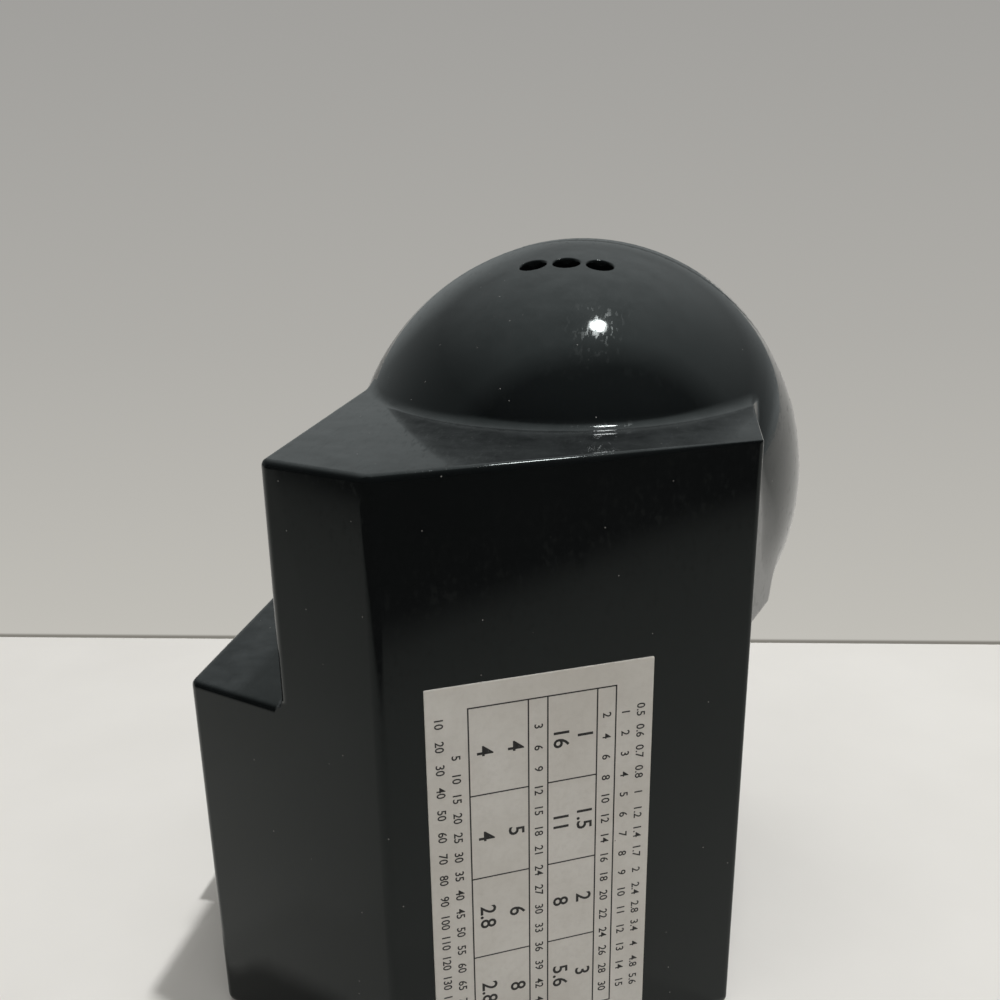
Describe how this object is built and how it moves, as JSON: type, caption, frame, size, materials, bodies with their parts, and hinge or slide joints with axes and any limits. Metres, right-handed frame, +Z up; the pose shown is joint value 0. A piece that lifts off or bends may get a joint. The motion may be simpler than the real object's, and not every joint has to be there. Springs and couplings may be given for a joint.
{
  "type": "camera flash",
  "caption": "Black moulded fill-in flash: a deep round hood on a prism housing with a ruled rear label, twist-off lens ring, hinged battery door and a lockable shoe foot.",
  "frame": {"origin": "on the base, under the light's axis, 30 mm behind the parting face of the two mouldings", "axes": "+Z up, -Y the way the light shines, +X towards the battery block and the shoe foot"},
  "size_m": [0.1103, 0.0939, 0.126],
  "materials": {
    "black_moulding": "polished black moulding with fine wear",
    "label_card": "pale printed card under varnish",
    "bright_plate": "bright plated metal",
    "plain_steel": "plain bright steel",
    "clear_lens": "clear pressed lens",
    "polished_bowl": "polished spun aluminium",
    "brass": "lacquered brass",
    "lamp_glass": "clear thin glass",
    "filament_wire": "drawn wire",
    "brown_board": "brown laminated board",
    "battery_sleeve": "dark red card sleeve",
    "capacitor_can": "drawn can",
    "resistor_body": "lacquered ceramic rod",
    "wire_sleeve": "woven sleeve"
  },
  "bodies": {
    "housing": {"rear_housing": "black_moulding", "front_cover": "black_moulding", "cover_screws": "plain_steel", "exposure_label": "label_card", "reflector": "polished_bowl", "socket_collar": "brass", "lamp_socket": "brass", "socket_insulator": "brown_board", "socket_contact": "brass", "lamp_globe": "lamp_glass", "lamp_filament": "filament_wire", "lamp_base": "brass", "hinge_pin": "plain_steel", "battery": "battery_sleeve", "battery_lower_contact": "brass", "battery_upper_contact": "brass", "terminal_board": "brown_board", "board_screws": "plain_steel", "solder_lugs": "brass", "capacitor": "capacitor_can", "capacitor_strap": "plain_steel", "strap_screws": "plain_steel", "charging_resistor": "resistor_body", "lead_wires": "wire_sleeve", "sync_block": "brown_board", "sync_pins": "brass", "foot_stud": "bright_plate", "stud_nut": "plain_steel", "foot_plate": "bright_plate"},
    "lens_ring": {"lens_ring": "bright_plate", "lens": "clear_lens", "lens_clip": "plain_steel"},
    "battery_door": {"battery_door": "black_moulding"},
    "door_latch": {"latch_knob": "bright_plate", "latch_cam": "plain_steel"},
    "clamp_washer": {"clamp_washer": "plain_steel"},
    "lock_knob": {"lock_knob": "bright_plate"}
  },
  "joints": [
    {"name": "ring_turn", "type": "hinge", "parent": "housing", "child": "lens_ring", "pos_m": [0, -0.04, 0.0815], "axis": [0, -1, 0], "range_deg": [0, 25]},
    {"name": "door_swing", "type": "hinge", "parent": "housing", "child": "battery_door", "pos_m": [0.0316, -0.0369, 0.033], "axis": [0, 0, -1], "range_deg": [0, 90]},
    {"name": "latch_turn", "type": "hinge", "parent": "battery_door", "child": "door_latch", "pos_m": [0.0457, -0.038, 0.033], "axis": [0, 1, 0], "range_deg": [0, 90]},
    {"name": "clamp_slide", "type": "slide", "parent": "housing", "child": "clamp_washer", "axis": [1, 0, 0], "range_m": [0, 0.0015]},
    {"name": "lock_turn", "type": "hinge", "parent": "clamp_washer", "child": "lock_knob", "pos_m": [0.0575, 0.007, 0.0125], "axis": [1, 0, 0], "range_deg": [0, 540]}
  ],
  "couplings": [
    {"joint": "lock_turn", "follows": "clamp_slide", "rad_per_m": 6283}
  ]
}
